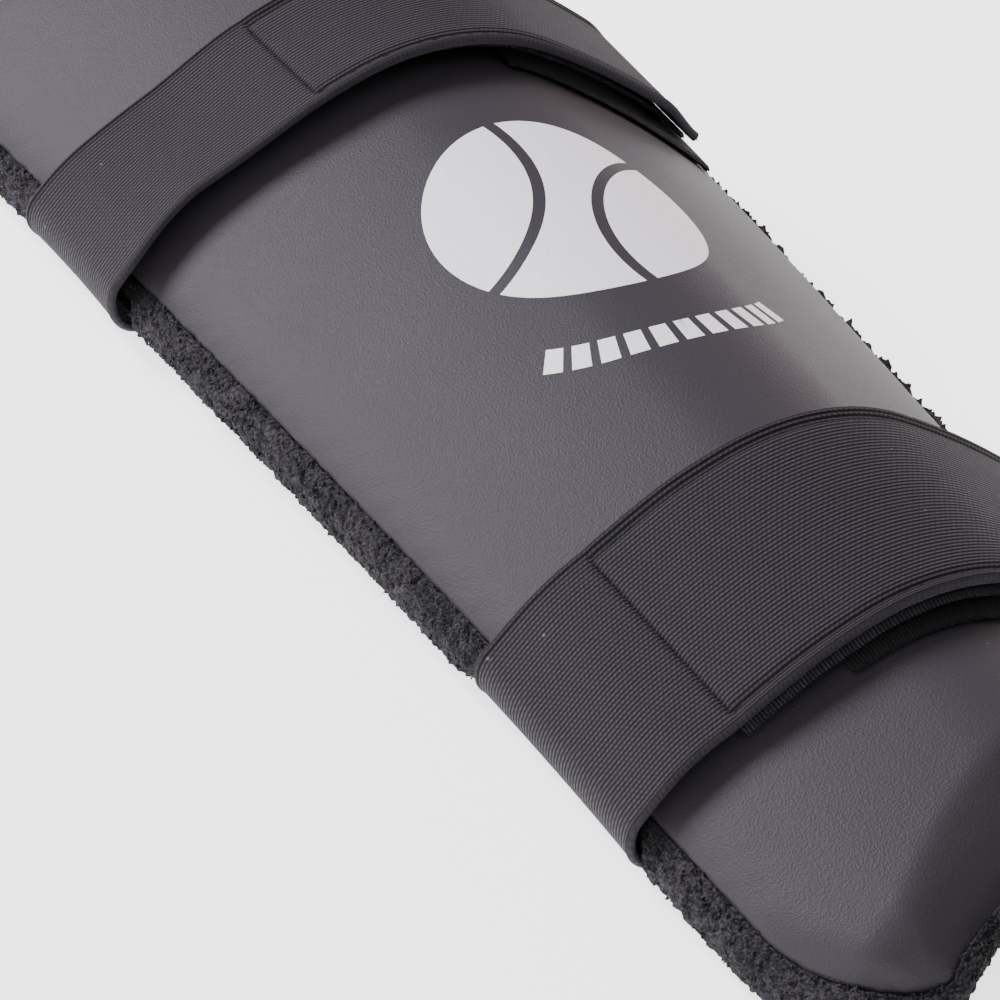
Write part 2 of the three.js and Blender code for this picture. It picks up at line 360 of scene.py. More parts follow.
faceSheet = {
    "columns": 110,
    "rows": 230,
    "cornerRows": 0.13,          # share of the rows in each corner zone
    "columnsAtEdge": 0.32,       # how much closer the columns stand at the sides
    "puckerPitch": 0.0062,
    "puckerLean": 0.6,
    "puckerDepth": 0.00007,
    "puckerReach": 0.0035,
    "puckerDrift": (60, 3),      # waves per metre and strength of its unevenness
    "wander": 0.0003,            # slow unevenness of the padding
    "wanderWaves": (22, 16),     # per metre, across and along
    "endWrap": 0.0026,           # how far the leather turns down at the ends
    "wrapReach": 0.004,
    "stretch": 1.011,            # and how much it then gains in length
}
leatherLook = {
    "tint": (1.05, 0.94, 1.10),
    "levels": (0.0365, 0.046),
    "cells": 2600.0,             # texture scales, for the grain, stains and lint
    "creases": 3200.0,
    "stains": 38.0,
    "lint": 120.0,
    "lintSize": 0.022,
    "lintShow": 0.25,
    "lintLevel": 0.35,
    "roughness": 0.44,
    "specular": 0.16,
    "bump": 0.00008,
}


def facePlace(u, v, columnsAtEdge):
    w = 2 * v - 1
    corner = faceSheet["cornerRows"]
    if abs(w) > 1 - corner:
        turn = (1 - abs(w)) / corner * math.pi / 2
        y = math.copysign(halfLength - shell["cornerAlong"] * (1 - math.cos(turn)), w)
    else:
        y = w / (1 - corner) * (halfLength - shell["cornerAlong"])
    q = 2 * u - 1
    return mix(q, math.sin(q * math.pi / 2), columnsAtEdge) * outlineAt(y), y


def wanderAt(s, y):
    across, lengthwise = faceSheet["wanderWaves"]
    return faceSheet["wander"] * noise.noise((s * across, y * lengthwise, 2.0))


def leatherTop(u, v):
    s, y = facePlace(u, v, faceSheet["columnsAtEdge"])
    seam = min(outlineAt(y) - abs(s), halfLength - abs(y))
    wrap = faceSheet["endWrap"] * endTurn(y) * math.exp(-(seam / faceSheet["wrapReach"]) ** 2)
    waves, strength = faceSheet["puckerDrift"]
    turns = (y + faceSheet["puckerLean"] * s) / faceSheet["puckerPitch"] * math.tau
    pucker = math.sin(turns + strength * noise.noise((s * waves, y * waves, 0)))
    fine = faceSheet["puckerDepth"] * pucker * math.exp(-seam / faceSheet["puckerReach"])
    off = faceOffset(s, y) + fine + wanderAt(s, y) - wrap
    return onGuard(s, y * faceSheet["stretch"], off)


def leatherUnder(u, v):
    s, y = facePlace(u, v, faceSheet["columnsAtEdge"])
    off = innerOffset(s, y) + shell["lining"] + strapBuild["gap"]
    return onGuard(s, y * faceSheet["stretch"], off)


def leatherFinish():
    look = leatherLook
    f = Finish("leather")
    cells = f.cells(look["cells"])
    creases = f.cloud(look["creases"], 3.0, 0.55)
    stains = f.cloud(look["stains"], 3.0)
    lint = f.cells(look["lint"]).math("LESS_THAN", look["lintSize"])
    dark, light = (grey(level, look["tint"]) for level in look["levels"])
    colour = f.blend(stains * 0.7 + cells * 0.3, dark, light)
    colour = f.blend(lint * look["lintShow"], colour, grey(look["lintLevel"]))
    return f.surface({
        "Base Color": colour,
        "Roughness": stains * 0.08 + creases * 0.1 + look["roughness"],
        "Specular IOR Level": look["specular"],
    }, creases * 0.55 + cells * 0.7, look["bump"])


faceMesh = slab(faceSheet["columns"], faceSheet["rows"], leatherTop, leatherUnder, sameShares)
leatherFace = finishPiece(faceMesh, "leather_face", leatherFinish(), "leather", "outer_shell")
print("leather face", len(leatherFace.data.polygons))

# Towelling: a border rolled round the leather's edge, and the lining

towel = {
    "aroundCorner": 54,          # border stations in one corner
    "step": 0.00058,             # and along its sides
    "profileSteps": 42,
    "lumps": 0.00075,
    "lumpWaves": ((1050, 1), (2300, 0.9), (420, 0.5)),    # per metre, with their weights
    "flatLift": 0.6,             # share of the lumps by which the flat parts rise
    "rightRise": 0.0007,
    "lowest": 0.0005,
    "liningColumns": 70,
    "liningRows": 140,
    "liningWaves": 800,
    "liningSink": 0.0006,
    "liningSpread": 0.001,
    "borderLoops": 8000,
    "liningLoops": 6200,
    "loopSpan": 0.00034,
    "loopThread": 0.00015,
    "loopLean": 0.55,
    "loopSizes": (0.75, 1.3),
    "loopRoot": 0.0001,          # how deep a loop's ends sit
    "borderStretch": (0.7, 1.4),
    "liningStretch": (0.8, 1.2),
}
# The border's section: shares of the way from under the leather's edge to inside the
# lining where its parts end, and sizes
section = {
    "tucked": 0.12,
    "flat": 0.3,
    "flatLumps": 0.34,
    "underLumps": 0.7,
    "round": 0.76,
    "turnedIn": 0.84,
    "start": -0.0004,
    "lip": 0.0002,
    "sink": 0.0022,
    "bulge": 0.0002,
    "inside": -0.007,
    "insideRise": 0.0012,
    "sideways": 0.9,             # outward direction from which a station counts as a side
}
press = {                        # how the straps squeeze the border
    "wristInset": 0.004,
    "wristFade": 0.006,
    "elbowInset": 0.0006,
    "elbowFade": 0.0035,
    "leftWidth": 0.55,
    "rightWidth": 0.8,
    "height": 0.88,
    "bare": 0.2,                 # from here on no loops
}
towelLook = {
    # the dark end is painted shade in the pile's hollows; the light end is the towelling's own dark
    # grey
    "levels": (0.0018, 0.072),
    "stops": ((0.44, 0.0), (0.62, 1.0)),
    "pile": 1900.0,              # texture scales
    "tufts": 1300.0,
    "patches": 160.0,
    "roughness": 0.95,
    "specular": 0.1,
    "sheen": 0.1,
    "bump": 0.0011,
}


def borderStations():            # the leather's outline with its outward direction, once round
    endY = halfLength - shell["cornerAlong"]
    steps = towel["aroundCorner"]
    corner = []                  # the elbow end's right corner, from the side to the end
    for turn in [k / steps * math.pi / 2 for k in range(steps + 1)]:
        y = endY + shell["cornerAlong"] * math.sin(turn)
        s = halfWidthAt(y) - shell["cornerAcross"] * (1 - math.cos(turn))
        corner.append((s, y, turn))
    corners = []
    for sideSign, endSign in ((1, 1), (-1, 1), (-1, -1), (1, -1)):
        part = []
        for s, y, turn in corner if sideSign * endSign > 0 else corner[::-1]:
            s = s + (halfWidthAt(endSign * y) - halfWidthAt(y))
            part.append((sideSign * s, endSign * y,
                         sideSign * math.cos(turn), endSign * math.sin(turn)))
        corners.append(part)
    stations = []
    for part, following in zip(corners, corners[1:] + corners[:1]):
        stations.extend(part)
        start, end = part[-1], following[0]
        count = max(2, round(math.dist(start[:2], end[:2]) / towel["step"]))
        for k in range(1, count):
            stations.append(tuple(mix(a, b, k / count) for a, b in zip(start, end)))
    return stations


border = borderStations()


def pressed(y, side):            # 1 under a strap, 0 a little way beside it
    def near(strap):
        if side > 0 and strap["freeEnd"] < 1:
            return 0.0
        low = strap["place"] - strap["width"] / 2 - strap["flare"]
        high = strap["place"] + strap["width"] / 2
        return 1 - smooth(max((low + press["wristInset"] - y) / press["wristFade"],
                              (y - high - press["elbowInset"]) / press["elbowFade"]))
    return max(near(strap) for strap in straps)


def borderPoint(station, p, swell=0.0):    # p from 0, under the leather's edge, to 1, inside
    s, y, outS, outY = station
    width = math.hypot(shell["sideBorder"] * outS, shell["endBorder"] * outY)
    top, bottom = faceOffset(s, y) - faceSheet["endWrap"] * abs(outY), innerOffset(s, y)
    y *= faceSheet["stretch"]
    middle, half = (top + bottom) / 2, (top - bottom) / 2
    flat = shell["borderFlat"] * width
    squeeze = 0 if abs(outS) < section["sideways"] else pressed(y, outS)
    if squeeze:
        narrow = mix(1, press["leftWidth"] if outS < 0 else press["rightWidth"], squeeze)
        width, flat = width * narrow, flat * narrow
        half *= mix(1, press["height"], squeeze)
        top, bottom = middle + half, middle - half
        swell *= 1 - squeeze
    tucked, flatEnd, roundEnd = section["tucked"], section["flat"], section["round"]
    if p < tucked:
        out = mix(section["start"], section["lip"], p / tucked)
        off = top - section["sink"] * (1 - p / tucked)
    elif p < flatEnd:
        share = (p - tucked) / (flatEnd - tucked)
        out = mix(section["lip"], flat, share)
        off = top + section["bulge"] * math.sin(share * math.pi)
    elif p < roundEnd:
        angle = mix(math.pi / 2, -math.pi / 2, (p - flatEnd) / (roundEnd - flatEnd))
        out = flat + (width - flat + swell) * math.cos(angle)
        off = middle + (half + swell) * math.sin(angle)
    else:
        turnedIn = section["turnedIn"]
        out = mix(flat, section["inside"], (p - roundEnd) / (1 - roundEnd))
        off = bottom + section["insideRise"] * smooth((p - turnedIn) / (1 - turnedIn))
    return onGuard(s + outS * out, y + outY * out, off)


def borderSurface(station, p):
    point = borderPoint(station, p)
    push = towel["lumps"] * sum(weight * noise.noise(point * waves)
                                for waves, weight in towel["lumpWaves"])
    if station[2] > section["sideways"]:
        push += towel["rightRise"]
    point = borderPoint(station, p, push)
    if p < section["flatLumps"]:
        point.z += towel["flatLift"] * push
    elif p > section["underLumps"]:
        point.z -= towel["flatLift"] * push
    point.z = max(point.z, towel["lowest"])
    return point


def towelFinish():
    look = towelLook
    f = Finish("towelling")
    pile = f.cloud(look["pile"], 4.0, 0.7)
    tufts = f.cells(look["tufts"])
    patches = f.cloud(look["patches"], 2.0)
    # The ramp paints the pile's hollows near black as painted shade between the loops; the patches
    # and the lighter end are the towelling's own mottled colour.
    shade = f.add("ShaderNodeValToRGB", {"stops": look["stops"]}, {0: pile * 0.8 + patches * 0.2})
    dark, light = (grey(level) for level in look["levels"])
    return f.surface({
        "Base Color": f.blend(shade, dark, light),
        "Roughness": look["roughness"],
        "Specular IOR Level": look["specular"],
        "Sheen Weight": look["sheen"],
        "Sheen Roughness": 0.6,
    }, pile - tufts * 0.5, look["bump"])


def buildBorder(material):
    bm = bmesh.new()
    bmesh.ops.create_grid(bm, x_segments=len(border), y_segments=towel["profileSteps"], size=0.5)
    for vert in bm.verts:
        index = round((vert.co.x + 0.5) * len(border)) % len(border)
        vert.co = borderSurface(border[index], vert.co.y + 0.5)
    bmesh.ops.remove_doubles(bm, verts=bm.verts, dist=1e-6)
    bmesh.ops.recalc_face_normals(bm, faces=bm.faces)
    return finishPiece(bm, "towel_border", material, "towelling", "towel_lining", sharp=180)


towelling = towelFinish()
towelBorder = buildBorder(towelling)


def liningPlace(u, v):
    s, y = facePlace(u, v, 0)
    return s * (1 + towel["liningSpread"] / outlineAt(y)), y


def liningUnder(u, v):
    s, y = liningPlace(u, v)
    waves = towel["liningWaves"]
    return onGuard(s, y, innerOffset(s, y) + towel["lumps"] * noise.noise((s * waves, y * waves, 0)))


def liningTop(u, v):
    s, y = liningPlace(u, v)
    return onGuard(s, y, innerOffset(s, y) + shell["lining"] - towel["liningSink"])


liningMesh = slab(towel["liningColumns"], towel["liningRows"], liningTop, liningUnder, sameShares)
lining = finishPiece(liningMesh, "towel_lining_sheet", towelling, "towelling", sharp=180)


def loopShape():                 # one loop of the pile: a bent thread with its ends in the cloth
    shape = bmesh.new()
    ring = bmesh.ops.create_circle(shape, segments=3, radius=towel["loopThread"])["verts"]
    bmesh.ops.translate(shape, verts=ring, vec=(towel["loopSpan"], 0, 0))
    bmesh.ops.spin(shape, geom=shape.edges[:], cent=(0, 0, 0), axis=(0, -1, 0),
                   angle=math.pi, steps=4)
    bmesh.ops.recalc_face_normals(shape, faces=shape.faces)
    return meshOf(shape, "loop_shape")


def loopPile(name, count, spot, stretch):
    single = loopShape()
    bm = bmesh.new()
    for _ in range(count):
        found = spot()
        if not found:
            continue
        point, normal = found
        if point.z < 3 * towel["lowest"]:
            continue
        lean = (normal + towel["loopLean"] * anyWay()).normalized()
        size = random.uniform(*towel["loopSizes"])
        turn = (lean.to_track_quat("Z", "X").to_matrix().to_4x4()
                @ Matrix.Rotation(random.uniform(0, math.tau), 4, "Z")
                @ Matrix.Diagonal((size, size, size * random.uniform(*stretch), 1)))
        addCopy(bm, single, Matrix.Translation(point) @ turn)
    bpy.data.meshes.remove(single)
    return finishPiece(bm, name, towelling, "towelling", sharp=180)


def facing(point, a, b):
    return point, (a - point).cross(b - point).normalized()


def borderSpot():                # a random point on the border with its outward normal
    station = random.choice(border)
    p = random.uniform(0.1, section["turnedIn"])
    if pressed(station[1], station[2]) > press["bare"]:
        return None
    s, y, outS, outY = station
    beside = border[(border.index(station) + 1) % len(border)]
    point, normal = facing(borderPoint(station, p), borderPoint(beside, p),
                           borderPoint(station, p + 0.02))
    outward = onGuard(s + outS * 0.02, y + outY * 0.02, -0.005) - point
    above = p < section["flat"]
    onEdge = not above and p < section["underLumps"]
    if (normal.z < 0) == above or onEdge and normal.dot(outward) < 0:
        normal = -normal
    return point - normal * towel["loopRoot"], normal


def liningSpot():
    s, y = liningPlace(random.uniform(0.03, 0.97), random.uniform(0.01, 0.99))
    off, near = innerOffset(s, y), 0.001
    point, normal = facing(onGuard(s, y, off), onGuard(s + near, y, off), onGuard(s, y + near, off))
    return point + normal * towel["loopRoot"], -normal


borderPile = loopPile("towel_border_pile", towel["borderLoops"], borderSpot, towel["borderStretch"])
liningPile = loopPile("towel_lining_pile", towel["liningLoops"], liningSpot, towel["liningStretch"])
print("towelling", len(borderPile.data.polygons), len(liningPile.data.polygons))

# Elastic straps and their tapes

elastic = {
    "columns": 52,
    "rim": 0.0007,               # rolled edge
    "body": 0.58,                # share of the thickness where the two sides meet
    "hollow": 0.12,              # and where the lower side lies
    "rimProud": 0.00025,
    "rimFade": 0.0005,
    "rimShadeLine": 0.0013,           # dark line beside it, painted shade for the groove by the rolled edge
    "rimShadeLineWidth": 0.0003,
    "cord": 0.0009,              # width of the plain cord along the edge
    "columnsAtEdge": 0.62,       # how much closer the columns stand there
    "endSeamWidth": 0.00035,
    "endSeamDepth": 0.8,         # share of the other seams' depth
    "seamInset": 0.0027,         # stitched line inside each edge
    "seamWidth": 0.0007,
    "seamDepth": 0.00055,
    "seamFade": 0.01,            # shares of the span
    "layerFade": 0.03,
    "layerStep": 0.0002,         # the tape below shows as a slight step
    "rowPitch": 0.00078,         # knitted rows
    "dashPitch": 1.15,           # stitches along a row, in row pitches
    "dashShift": 1.6,
    "stitchPitch": 0.0030,
    "stitchLength": 0.0023,
    "stitchRadius": 0.00016,
    "stitchRise": (0.00002, 0.00016),
    "stitchTwist": 0.12,
}
elasticLook = {
    "levels": (0.0015, 0.060),
    "fuzz": 2600.0,              # texture scales
    "patches": 120.0,
    "lint": 130.0,
    "lintSize": 0.04,
    "lintShow": 0.35,
    "lintLevel": 0.30,
    # how far painted shade darkens the stitched grooves
    "seamPaintedShade": 0.6,
    # how far the painted shade line beside the rolled edge darkens the knit
    "rimPaintedShade": 0.7,
    "cordPlain": 0.7,            # how far the knit fades on the cord
    "cordLevel": 0.3,
    "roughness": 0.72,
    "specular": 0.14,
    "sheen": 0.04,
    "bump": 0.00028,
}
tapes = {
    "step": 0.0002,              # stations along the tape
    "columns": 14,
    "columnsAtEdge": 0.7,
    "rim": 0.0006,
    "toothPitch": 0.00062,
    "tooth": 0.00016,
    "toothReach": 0.0007,
    "sway": 0.0002,              # slow waves of the hook tape's edges
    "swayWaves": 120,
    "swayReach": 0.002,
    "turnSpare": 0.003,
}
tapeLooks = {
    "hook": {"levels": (0.008, 0.050), "roughness": 0.6},
    "loop": {"levels": (0.003, 0.014), "roughness": 0.9},
}
rollWidth = shell["sideRollWidth"] + rimCentre
rollTurn = math.atan(2 * strapBuild["rollDrop"] / rollWidth)


def spanAt(y):
    return halfWidthAt(y) + rimCentre


def drawn(share):                # 0 up to the left turn's start, 1 at the left border
    return smooth((-share - strapBuild["drawStart"]) / (1 - strapBuild["drawStart"]))


def fromElbowSide(strap, y):     # 0 at the strap's elbow-side edge, 1 at the other
    return (strap["place"] + strap["width"] / 2 - y) / strap["width"]


def strapS(strap, share, y):     # arc length of a share of the span, drawn in at the left edge
    return share * spanAt(y) + strap["tuck"] * drawn(share)


def strapBed(strap, s, y):
    edge = spanAt(y) - (strap["tuck"] if s < 0 else 0)
    sunk = (1 - clamp((edge - abs(s)) / rollWidth)) ** 2
    return strapBuild["gap"] - strapBuild["rollDrop"] * sunk


def flared(strap, station, y):   # a strap spreads toward the wrist at its left end
    kind, share = station[:2]
    if kind == "face":
        weight = drawn(share)
    elif kind == "turn":
        weight = 1 if station[3] < 0 else 0
    else:
        weight = 1 - smooth((share + 1) / 2)
    return y - strap["flare"] * weight * fromElbowSide(strap, y)


def climb(start, share, y):      # 0 before a tape, 1 on it
    return smooth((share - start) * spanAt(y) / strapBuild["ramp"] + 1)


def loopLift(strap, share, y):
    fall = smooth((share - strap["loopEnd"]) / (1 - strap["loopEnd"]))
    full = mix(strapBuild["tape"] + strapBuild["gap"], strapBuild["freeEndStandoff"], fall)
    return climb(strap["loopStart"], share, y) * full


def hookLift(strap, share, y):
    return climb(strap["hookStart"], share, y) * (strapBuild["tape"] + strapBuild["gap"])


def edgeLift(strap, share, y):   # less where the tapes hold the strap down
    grown = smooth((strap["liftStart"] - share) / strapBuild["liftFade"])
    held = smooth((share - strap["loopStart"]) / strapBuild["heldFade"] + 1)
    across = clamp(fromElbowSide(strap, y)) ** strapBuild["liftCurve"]
    return strap["edgeLift"] * across * mix(mix(strap["leastLift"], 1, grown),
                                            strapBuild["heldLift"], held)


def droop(strap, share, layer):  # 0 for the hook tape, 1 for the elastic
    if strap["freeEnd"] == 1:
        return 0.0
    near = smooth((share - strap["freeEnd"]) / strapBuild["droopReach"] + 1)
    return -strapBuild["droop"][layer] * near


# The tapes below, the loose edge and the cut end; layer as in droop
def stackLift(strap, share, y, layer, loose=1):
    below = loopLift(strap, share, y) + (hookLift(strap, share, y) if layer else 0)
    return below + loose * edgeLift(strap, share, y) + droop(strap, share, layer)


def noLift(_):
    return 0


# A route's stations: ("face", share of the span), ("turn", share, last angle, side) round
# a border, or ("floor", share of the half run)
def routePoint(strap, station, y, lift):
    kind, share = station[:2]
    y = flared(strap, station, y)
    if kind == "face":
        s = strapS(strap, share, y)
        return onGuard(s, y, strapBed(strap, s, y) + lift(share))
    side = station[3] if kind == "turn" else 1
    radius = rimHalf + strapBuild["gap"]
    edge = strapS(strap, side, y)
    _, _, slope = bend(edge, y)
    top = onGuard(edge, y, strapBed(strap, edge, y))
    start = abs(slope) + rollTurn
    centre = top - radius * Vector((side * math.sin(start), 0, math.cos(start)))
    if kind == "turn":
        angle = mix(start, station[2], share)
        radius += lift(side)
        return centre + Vector((side * radius * math.sin(angle), 0, radius * math.cos(angle)))
    return Vector((share * (centre.x - rimHalf / 2), y, lift(None)))


def strapStations(strap):
    hookStart, near = strap["hookStart"], strapBuild["seamStep"]
    over, free, turn = (strapBuild[name] for name in ("faceSteps", "freeTurnSteps", "turnSteps"))
    shares = [1 - k / over for k in range(2 * over + 1)]
    shares = [share for share in shares
              if share < strap["freeEnd"] and abs(share - hookStart) > 2 * near]
    shares += [hookStart + k * near for k in (-1.5, -0.6, 0, 0.6, 1.5)]
    right = [("face", strap["freeEnd"])]
    if strap["freeEnd"] == 1:
        shares.append(1)
        right = [("turn", 1 - k / free, strapBuild["freeEndAngle"], 1) for k in range(free)]
    face = [("face", share) for share in sorted(shares, reverse=True)]
    left = [("turn", k / turn, strapBuild["floorTurn"], -1) for k in range(1, turn + 1)]
    floor = [("floor", -1 + k / turn) for k in range(2 * turn + 1)]
    return right + face + left + floor + [("floor", strapBuild["floorReach"])]


def edgeProfile(inset):          # shares of the strap's thickness, with rolled edges
    bow = math.sqrt(1 - (1 - clamp(inset / elastic["rim"])) ** 2)
    proud = elastic["rimProud"] * math.exp(-((inset - elastic["rim"]) / elastic["rimFade"]) ** 2)
    meeting = elastic["body"] * (1 - bow)
    return meeting + bow, meeting + elastic["hollow"] * bow, proud


def seamDepth(strap, station, inset):    # 0 to 1: the sewn lines where a strap lies on its tape
    onFace = station[0] == "face"
    if station[0] == "floor" or station[0] == "turn" and station[3] < 0:
        return 0.0
    line = math.exp(-((inset - elastic["seamInset"]) / elastic["seamWidth"]) ** 2)
    ending = 0.0
    if onFace:
        line *= smooth((station[1] - strap["hookStart"]) / elastic["seamFade"] + 0.5)
        if inset > elastic["seamInset"]:
            away = (station[1] - strap["hookStart"]) * spanAt(strap["place"])
            ending = elastic["endSeamDepth"] * math.exp(-(away / elastic["endSeamWidth"]) ** 2)
    return max(line, ending)


def buildStrap(strap, material):
    stations = strapStations(strap)
    last = len(stations) - 1
    width, place = strap["width"], strap["place"]
    runs = [0.0]
    for a, b in zip(stations, stations[1:]):
        ends = [routePoint(strap, station, place, noLift) for station in (a, b)]
        runs.append(runs[-1] + (ends[1] - ends[0]).length)

    def acrossAt(u):             # with its distance from the nearer edge
        across = width * eased(u, elastic["columnsAtEdge"])
        return across, min(across, width - across)

    def surface(side):
        def point(u, v):
            station = stations[round(v * last)]
            across, inset = acrossAt(u)
            y = place + across - width / 2
            upper, lower, proud = edgeProfile(inset)
            thickness = strapBuild["elastic"] * (upper if side > 0 else lower)
            if side > 0:
                thickness += proud - elastic["seamDepth"] * seamDepth(strap, station, inset)
                if station[0] == "face":
                    onTape = smooth((station[1] - strap["hookStart"]) / elastic["layerFade"])
                    thickness += elastic["layerStep"] * onTape
            loose = 1 - station[1] if station[0] == "turn" and station[3] < 0 else 1

            def lift(share):
                if share is None:    # on the floor
                    return max(strapBuild["elastic"] - thickness, 0)
                return thickness + stackLift(strap, share, y, 1, loose)

            return routePoint(strap, station, y, lift)
        return point

    def flatPlace(u, v):
        return runs[round(v * last)], acrossAt(u)[0]

    bm = slab(elastic["columns"], last, surface(1), surface(-1), flatPlace)
    seamUv = bm.loops.layers.uv.new("seam")
    share = bm.verts.layers.float_vector["share"]
    for face in bm.faces:
        for loop in face.loops:
            u, v, _ = loop.vert[share]
            inset = acrossAt(u)[1]
            # the second seam coordinate holds the painted shade line beside the rolled edge, less
            # the plain cord
            rimShadeLine = math.exp(-((inset - elastic["rimShadeLine"]) / elastic["rimShadeLineWidth"]) ** 2)
            cord = smooth(1 - inset / elastic["cord"])
            loop[seamUv].uv = seamDepth(strap, stations[round(v * last)], inset), rimShadeLine - cord
    name = strap["name"]
    return finishPiece(bm, name + "_band", material, "elastic", name + "_strap", sharp=60)


def elasticFinish():
    look = elasticLook
    f = Finish("elastic")
    run, across = f.flatPlace("flat")
    seam, edge = f.flatPlace("seam")
    turns = across * (math.tau / elastic["rowPitch"])
    odd = (turns * 0.5).math("SINE").math("SIGN")
    dashTurns = run * (math.tau / (elastic["rowPitch"] * elastic["dashPitch"]))
    dashes = (dashTurns + odd * elastic["dashShift"]).wave()
    rim = edge.math("MAXIMUM", 0.0)
    cord = edge.math("MINIMUM", 0.0) * -1.0
    fuzz = f.cloud(look["fuzz"], 3.0)
    patches = f.cloud(look["patches"], 3.0)
    knit = turns.wave() * (dashes * 0.5 + 0.5)
    knit = knit * (cord * -look["cordPlain"] + 1.0) + cord * look["cordLevel"]
    lint = f.cells(look["lint"]).math("LESS_THAN", look["lintSize"])
    dark, light = (grey(level) for level in look["levels"])
    colour = f.blend(knit * 0.75 + fuzz * 0.25, dark, light)
    # painted shade: the stitched grooves are darkened toward the dark knit colour
    colour = f.blend(seam * look["seamPaintedShade"], colour, dark)
    # painted shade: a dark line beside the rolled edge
    colour = f.blend(rim * look["rimPaintedShade"], colour, dark)
    colour = f.blend(lint * look["lintShow"], colour, grey(look["lintLevel"]))
    return f.surface({
        "Base Color": colour,
        "Roughness": patches * 0.1 + look["roughness"],
        "Specular IOR Level": look["specular"],
        "Sheen Weight": look["sheen"],
        "Sheen Roughness": 0.5,
    }, knit + fuzz * 0.35, look["bump"])


def buildTape(strap, kind, material):
    hook = kind == "hook"
    place, width = strap["place"], strap["width"]
    start, end = strap[kind + "Start"], strap["freeEnd" if hook else "loopEnd"]
    span = spanAt(place)
    faceRun = (end - start) * span
    turnRun = 0
    if hook and end == 1:
        turn = strapBuild["hookEndAngle"] - bend(span, place)[2]
        turnRun = (rimHalf + tapes["turnSpare"]) * turn
    total = faceRun + turnRun
    count = round(total / tapes["step"])

    def edges(v):
        if hook:
            return (place - strap["hookOverhang"] - width / 2,
                    place + width / 2 - abs(strap["hookOverhang"]))
        return place - width / 2 - mix(*strap["loopOverhang"], v), place + width / 2

    def shape(side):
        def point(u, v):
            run = v * total
            low, high = edges(v)
            share = eased(u, tapes["columnsAtEdge"])
            tooth = (tapes["tooth"] * math.sin(run / tapes["toothPitch"] * math.tau)
                     * math.exp(-share * (high - low) / tapes["toothReach"]))
            y = mix(low, high, share) - tooth
            inset = min(share, 1 - share) * (high - low)
            body = 0.5 + 0.5 * math.sqrt(1 - (1 - clamp(inset / tapes["rim"])) ** 2)
            off = strapBuild["tape"] * strapBuild["tapeBody"] * (body if side > 0 else 1 - body)

            def lift(at):
                if not hook:
                    return off
                sway = tapes["sway"] * noise.noise((run * tapes["swayWaves"], 0, 5))
                sway *= math.exp(-inset / tapes["swayReach"])
                return off + sway + stackLift(strap, at, y, 0)

            if run <= faceRun:
                return routePoint(strap, ("face", mix(start, end, run / faceRun)), y, lift)
            share = (run - faceRun) / turnRun
            return routePoint(strap, ("turn", share, strapBuild["hookEndAngle"], 1), y, lift)
        return point

    bm = slab(tapes["columns"], count, shape(1), shape(-1), lambda u, v: (v * total, u * width))
    name, slot = strap["name"] + "_" + kind, kind + "_tape"
    return finishPiece(bm, name + "_band", material, slot, name + "_tape", sharp=60)


def tapeFinish(kind):
    look = tapeLooks[kind]
    f = Finish(kind + "_tape")
    run, _ = f.flatPlace("flat")
    teeth = (run * (math.tau / tapes["toothPitch"])).wave()
    fuzz = f.cloud(1900.0, 4.0, 0.7)
    dark, light = (grey(level) for level in look["levels"])
    return f.surface({
        "Base Color": f.blend(teeth * 0.6 + fuzz * 0.4, dark, light),
        "Roughness": look["roughness"],
        "Specular IOR Level": 0.3,
    }, teeth * 0.5 + fuzz, 0.0003)


elasticCloth = elasticFinish()
tapeCloths = {kind: tapeFinish(kind) for kind in ("hook", "loop")}
for strap in straps:
    buildStrap(strap, elasticCloth)
    for kind in ("hook", "loop"):
        buildTape(strap, kind, tapeCloths[kind])
print("straps")


# Stitches, cut threads and stray fibres

def threadFinish():
    f = Finish("thread")
    twist = f.cloud(3500.0, 2.0)
    return f.surface({
        "Base Color": f.blend(twist, grey(0.003), grey(0.009)),
        "Roughness": 0.8,
        "Specular IOR Level": 0.15,
    }, twist, 0.0001)


def stitchShape():
    shape = bmesh.new()
    bmesh.ops.create_uvsphere(shape, u_segments=6, v_segments=4, radius=1)
    size = (elastic["stitchLength"] / 2, elastic["stitchRadius"], elastic["stitchRadius"])
    bmesh.ops.scale(shape, vec=size, verts=shape.verts)
    return meshOf(shape, "stitch_shape")


def onStrap(strap, share, y, proud):
    def lift(at):
        return strapBuild["elastic"] + proud + stackLift(strap, at, y, 1)
    return routePoint(strap, ("face", share), y, lift)


def stitchPlaces(strap):         # share of the span, y, and whether it runs across the strap
    place, pitch, span = strap["place"], elastic["stitchPitch"], spanAt(strap["place"])
    inner = strap["width"] / 2 - elastic["seamInset"]
    hookStart = strap["hookStart"]
    places = []
    count = round((strap["freeEnd"] - hookStart) * span / pitch)
    for side in (-1, 1):
        places += [(hookStart + (k + 0.5) * pitch / span, place + side * inner, False)
                   for k in range(count)]
    count = round(2 * inner / pitch)
    places += [(hookStart, place - inner + (k + 0.5) * 2 * inner / count, True)
               for k in range(count)]
    return [found for found in places if found[0] <= 1]


def buildStitches(strap, material):
    single = stitchShape()
    bm = bmesh.new()
    for share, y, crosswise in stitchPlaces(strap):
        sink = -elastic["seamDepth"] + random.uniform(*elastic["stitchRise"])
        point = onStrap(strap, share, y, sink)
        if crosswise:
            ahead = onStrap(strap, share, y + 0.001, sink) - point
        else:
            ahead = onStrap(strap, share + 0.01, y, sink) - point
        twist = random.uniform(-elastic["stitchTwist"], elastic["stitchTwist"])
        turn = ahead.to_track_quat("X", "Z").to_matrix().to_4x4() @ Matrix.Rotation(twist, 4, "Z")
        addCopy(bm, single, Matrix.Translation(point) @ turn)
    bpy.data.meshes.remove(single)
    return finishPiece(bm, strap["name"] + "_stitches", material, "elastic", sharp=180)


